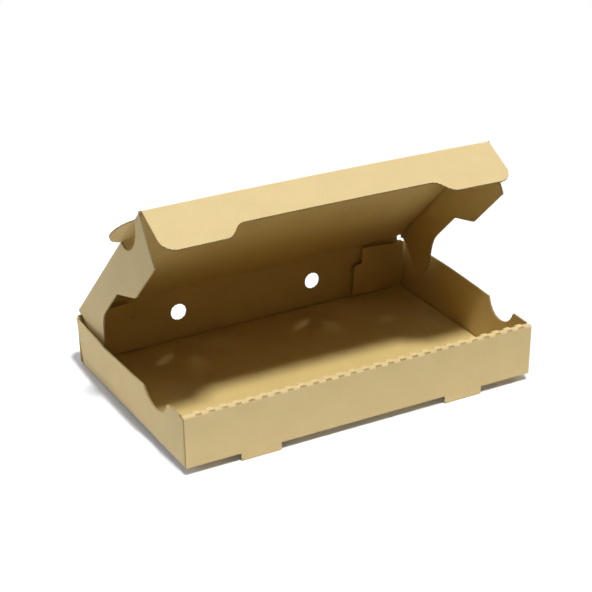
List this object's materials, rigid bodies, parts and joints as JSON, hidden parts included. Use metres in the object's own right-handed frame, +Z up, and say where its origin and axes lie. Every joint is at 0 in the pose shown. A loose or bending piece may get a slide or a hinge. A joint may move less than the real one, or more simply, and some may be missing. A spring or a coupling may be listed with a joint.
{
  "type": "flatbread box",
  "caption": "Shallow rectangular kraft corrugated carton with a roll-over front wall, side vent notches, front feet and a hinged lid with tuck-in flaps.",
  "frame": {"origin": "on the table under the middle of the box, between its two front feet and its rear bottom edge", "axes": "+X along the hinge to the right, +Y to the rear, +Z up"},
  "size_m": [0.3826, 0.2314, 0.214],
  "materials": {
    "kraft_board": "matte kraft liner"
  },
  "bodies": {
    "tray": {"tray": "kraft_board"},
    "lid": {"lid": "kraft_board"},
    "lid_front_flap": {"lid_front_flap": "kraft_board"},
    "lid_left_flap": {"lid_left_flap": "kraft_board"},
    "lid_right_flap": {"lid_right_flap": "kraft_board"}
  },
  "joints": [
    {"name": "lid_hinge", "type": "hinge", "parent": "tray", "child": "lid", "pos_m": [0, 0.1149, 0.05595], "axis": [-1, 0, 0], "range_deg": [-45.8, 110]},
    {"name": "front_flap_fold", "type": "hinge", "parent": "lid", "child": "lid_front_flap", "pos_m": [0, -0.03469, 0.21315], "axis": [-1, 0, 0], "range_deg": [-30, 72]},
    {"name": "left_flap_fold", "type": "hinge", "parent": "lid", "child": "lid_left_flap", "pos_m": [-0.1739, 0.03952, 0.134], "axis": [0, -0.6893, 0.7244], "range_deg": [0, 60]},
    {"name": "right_flap_fold", "type": "hinge", "parent": "lid", "child": "lid_right_flap", "pos_m": [0.1739, 0.03952, 0.134], "axis": [0, 0.6893, -0.7244], "range_deg": [0, 60]}
  ],
  "couplings": [
    {"joint": "front_flap_fold", "follows": "lid_hinge", "ratio": 0.65}
  ]
}
